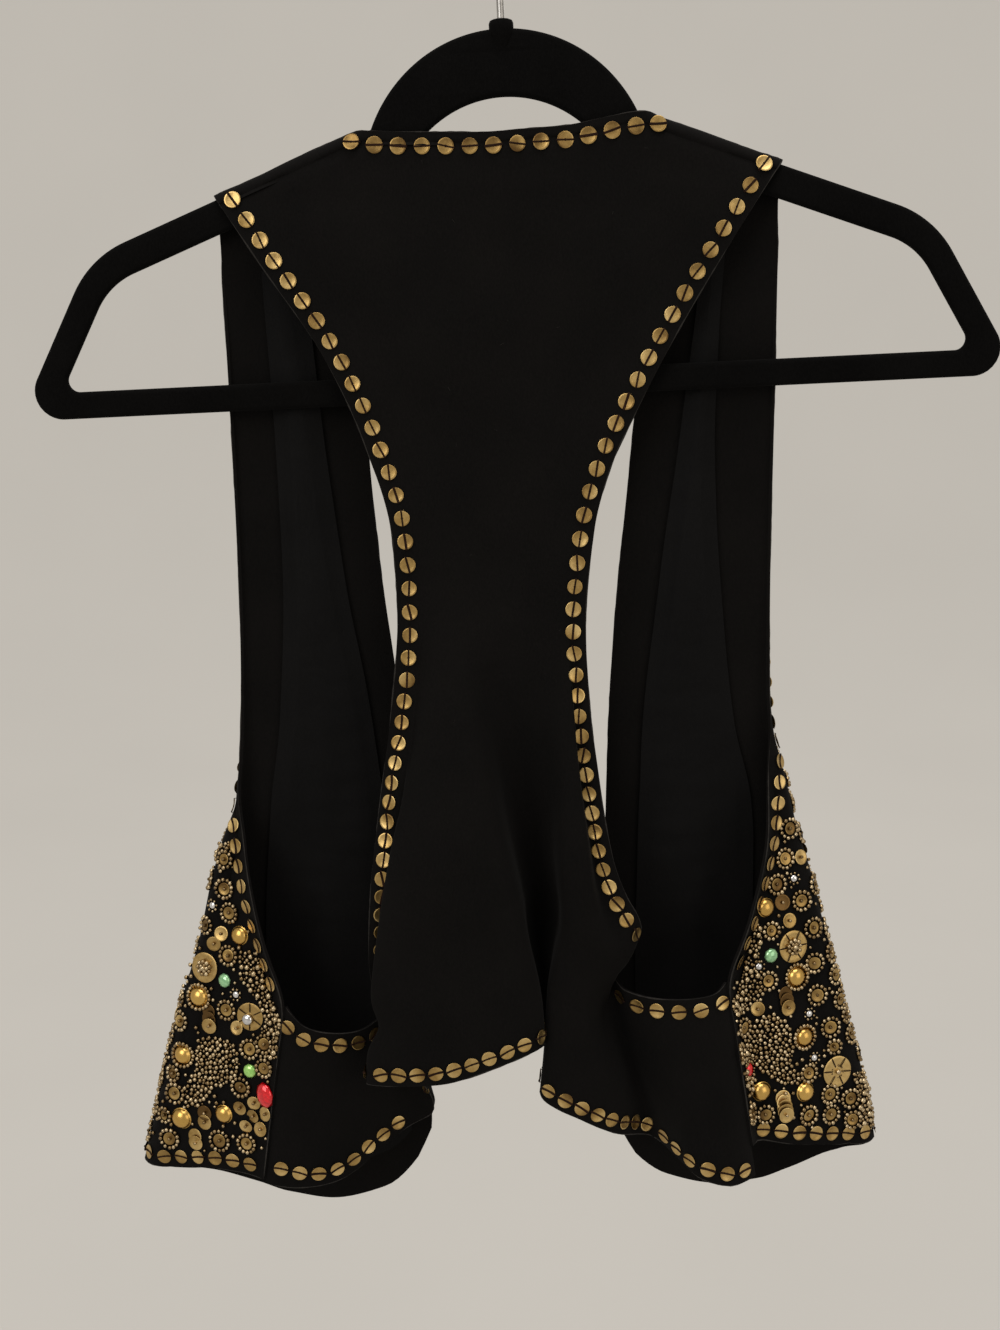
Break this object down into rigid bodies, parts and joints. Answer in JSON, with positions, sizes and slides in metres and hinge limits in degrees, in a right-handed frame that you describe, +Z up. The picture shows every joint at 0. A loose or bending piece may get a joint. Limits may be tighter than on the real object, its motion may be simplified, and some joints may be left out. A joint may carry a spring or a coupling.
{
  "type": "sequin vest on a hanger",
  "caption": "Racer-back cloth vest with disc sequins along its edges and beaded fronts, hanging from a flat flocked hanger with a wire hook.",
  "frame": {"origin": "inner top of the hook's crook, where a rail carries it", "axes": "+Z up, +X towards the wearer's right, +Y towards the vest's front, so its back faces -Y"},
  "size_m": [0.4417, 0.0726, 0.6482],
  "materials": {
    "cloth": "matte black brushed cotton",
    "lining": "smooth black lining",
    "flock": "black flocking on a moulded frame",
    "hook_steel": "bright wire",
    "sequin": "antique gold discs and domes",
    "bead": "small pale gold beads",
    "stone": "clear, red and green faceted stones"
  },
  "bodies": {
    "root": {"back": "cloth", "front_left": "cloth", "front_right": "cloth", "lining_left": "lining", "lining_right": "lining", "hanger": "flock", "hook": "hook_steel"}
  },
  "joints": []
}
